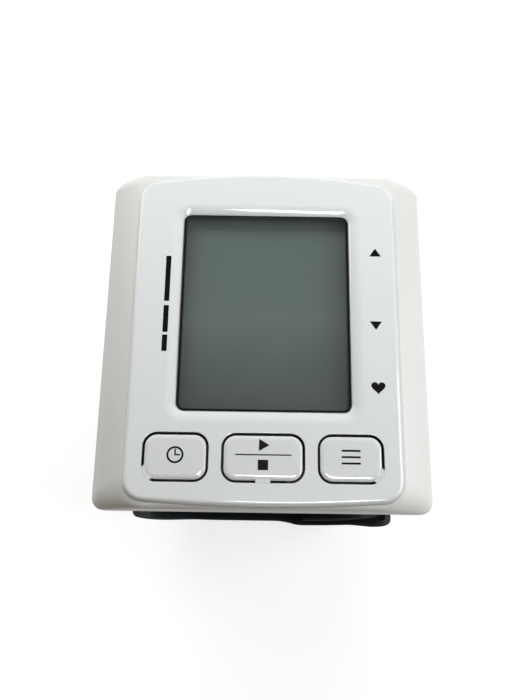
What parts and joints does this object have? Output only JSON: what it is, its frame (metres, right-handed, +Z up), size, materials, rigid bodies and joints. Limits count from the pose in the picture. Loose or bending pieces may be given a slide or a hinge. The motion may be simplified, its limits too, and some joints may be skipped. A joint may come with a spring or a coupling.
{
  "type": "wrist blood pressure monitor",
  "caption": "Wrist blood pressure monitor: a pale display unit with press keys and a battery door, seated on a closed dark fabric cuff that opens and peels.",
  "frame": {"origin": "centre of the cuff's flat underside, on the surface the monitor stands on, under the middle of the unit's width and length", "axes": "+X to the reader's right, +Y towards the top edge of the display, +Z up through the display's face"},
  "size_m": [0.072, 0.076, 0.0785],
  "materials": {
    "case_plastic": "satin moulded plastic, warm pale grey",
    "panel_plastic": "glossy white plastic",
    "key_plastic": "glossy pale grey plastic",
    "window_plastic": "clear polished plastic",
    "black_plastic": "black moulded plastic",
    "display_glass": "grey-green display glass, switched off",
    "contact_rubber": "pink zebra strip rubber",
    "board_laminate": "brown circuit laminate",
    "plunger_plastic": "grey plastic",
    "pale_plastic": "unpainted pale plastic",
    "screw_steel": "zinc plated",
    "contact_steel": "nickel plated",
    "cell_sleeve": "printed sleeve over a can",
    "motor_steel": "zinc plated can and shaft",
    "valve_metal": "dark coil housing",
    "tube_rubber": "milky silicone",
    "bladder_rubber": "thin grey sheet",
    "cuff_fabric": "brushed loop nylon, near black",
    "liner_fabric": "smooth knitted lining, dark grey",
    "binding_fabric": "ribbed edge tape, black",
    "hook_fabric": "moulded hook tape, black"
  },
  "bodies": {
    "cuff_strap": {"cuff_cover_strap": "cuff_fabric", "cuff_liner_strap": "liner_fabric", "cuff_binding_strap_front": "binding_fabric", "cuff_binding_strap_back": "binding_fabric"},
    "unit": {"front_case": "case_plastic", "front_panel": "panel_plastic", "display_window": "window_plastic", "lcd_holder": "black_plastic", "lcd_glass": "display_glass", "lcd_connector_front": "contact_rubber", "lcd_connector_back": "contact_rubber", "main_board": "board_laminate", "set_switch": "black_plastic", "start_switch": "black_plastic", "memory_switch": "black_plastic", "controller_chip": "black_plastic", "sounder": "black_plastic", "pressure_sensor": "pale_plastic", "rear_case": "case_plastic", "case_screw_left_front": "screw_steel", "case_screw_right_front": "screw_steel", "case_screw_left_back": "screw_steel", "case_screw_right_back": "screw_steel", "battery_outer": "cell_sleeve", "contact_spring_front": "contact_steel", "battery_inner": "cell_sleeve", "contact_spring_back": "contact_steel", "contact_link": "contact_steel", "contact_negative": "contact_steel", "contact_positive": "contact_steel", "pump_motor": "motor_steel", "pump_head": "black_plastic", "air_port": "pale_plastic", "air_manifold": "pale_plastic", "bleed_valve": "valve_metal", "pump_tube": "tube_rubber", "valve_tube": "tube_rubber", "sensor_tube": "tube_rubber", "cuff_cover_wing": "cuff_fabric", "cuff_stiffener": "pale_plastic", "air_bladder": "bladder_rubber", "cuff_liner_wing": "liner_fabric", "cuff_binding_wing": "binding_fabric"},
    "cuff_tail": {"cuff_cover_tail": "cuff_fabric", "hook_patch": "hook_fabric", "cuff_binding_tail": "binding_fabric"},
    "set_key": {"set_key": "key_plastic"},
    "start_key": {"start_key": "key_plastic"},
    "memory_key": {"memory_key": "key_plastic"},
    "set_plunger": {"set_plunger": "plunger_plastic"},
    "start_plunger": {"start_plunger": "plunger_plastic"},
    "memory_plunger": {"memory_plunger": "plunger_plastic"},
    "battery_door": {"battery_door": "case_plastic"},
    "pump_shaft": {"pump_shaft": "motor_steel"},
    "valve_plunger": {"valve_plunger": "motor_steel"}
  },
  "joints": [
    {"name": "cuff_open", "type": "hinge", "parent": "cuff_strap", "child": "unit", "pos_m": [-0.03485, 0, 0.024], "axis": [0, -1, 0], "range_deg": [0, 45]},
    {"name": "tail_peel", "type": "hinge", "parent": "cuff_strap", "child": "cuff_tail", "pos_m": [0.03051, 0, 0.01023], "axis": [0, 1, 0], "range_deg": [0, 90]},
    {"name": "set_press", "type": "hinge", "parent": "unit", "child": "set_key", "pos_m": [-0.02369, -0.0315, 0.07752], "axis": [-0.7071, 0.7071, 0], "range_deg": [0, 2.5], "stiffness_Nm_per_rad": 0.2},
    {"name": "start_press", "type": "hinge", "parent": "unit", "child": "start_key", "pos_m": [0, -0.03254, 0.07752], "axis": [-1, 0, 0], "range_deg": [0, 2.5], "stiffness_Nm_per_rad": 0.2},
    {"name": "memory_press", "type": "hinge", "parent": "unit", "child": "memory_key", "pos_m": [0.02369, -0.0315, 0.07752], "axis": [-0.7071, -0.7071, 0], "range_deg": [0, 2.5], "stiffness_Nm_per_rad": 0.2},
    {"name": "set_plunger_travel", "type": "slide", "parent": "unit", "child": "set_plunger", "axis": [0, 0, -1], "range_m": [0, 0.0003]},
    {"name": "start_plunger_travel", "type": "slide", "parent": "unit", "child": "start_plunger", "axis": [0, 0, -1], "range_m": [0, 0.00022]},
    {"name": "memory_plunger_travel", "type": "slide", "parent": "unit", "child": "memory_plunger", "axis": [0, 0, -1], "range_m": [0, 0.0003]},
    {"name": "battery_door_pull", "type": "slide", "parent": "unit", "child": "battery_door", "axis": [-1, 0, 0], "range_m": [0, 0.03]},
    {"name": "pump_spin", "type": "hinge", "parent": "unit", "child": "pump_shaft", "pos_m": [0.0266, 0, 0.05588], "axis": [0, 1, 0], "continuous": true},
    {"name": "valve_lift", "type": "slide", "parent": "unit", "child": "valve_plunger", "axis": [0, -1, 0], "range_m": [0, 0.001], "stiffness_N_per_m": 30}
  ],
  "couplings": [
    {"joint": "tail_peel", "follows": "cuff_open", "ratio": 2},
    {"joint": "set_plunger_travel", "follows": "set_press", "m_per_rad": 0.006747},
    {"joint": "start_plunger_travel", "follows": "start_press", "m_per_rad": 0.00494},
    {"joint": "memory_plunger_travel", "follows": "memory_press", "m_per_rad": 0.006747}
  ]
}
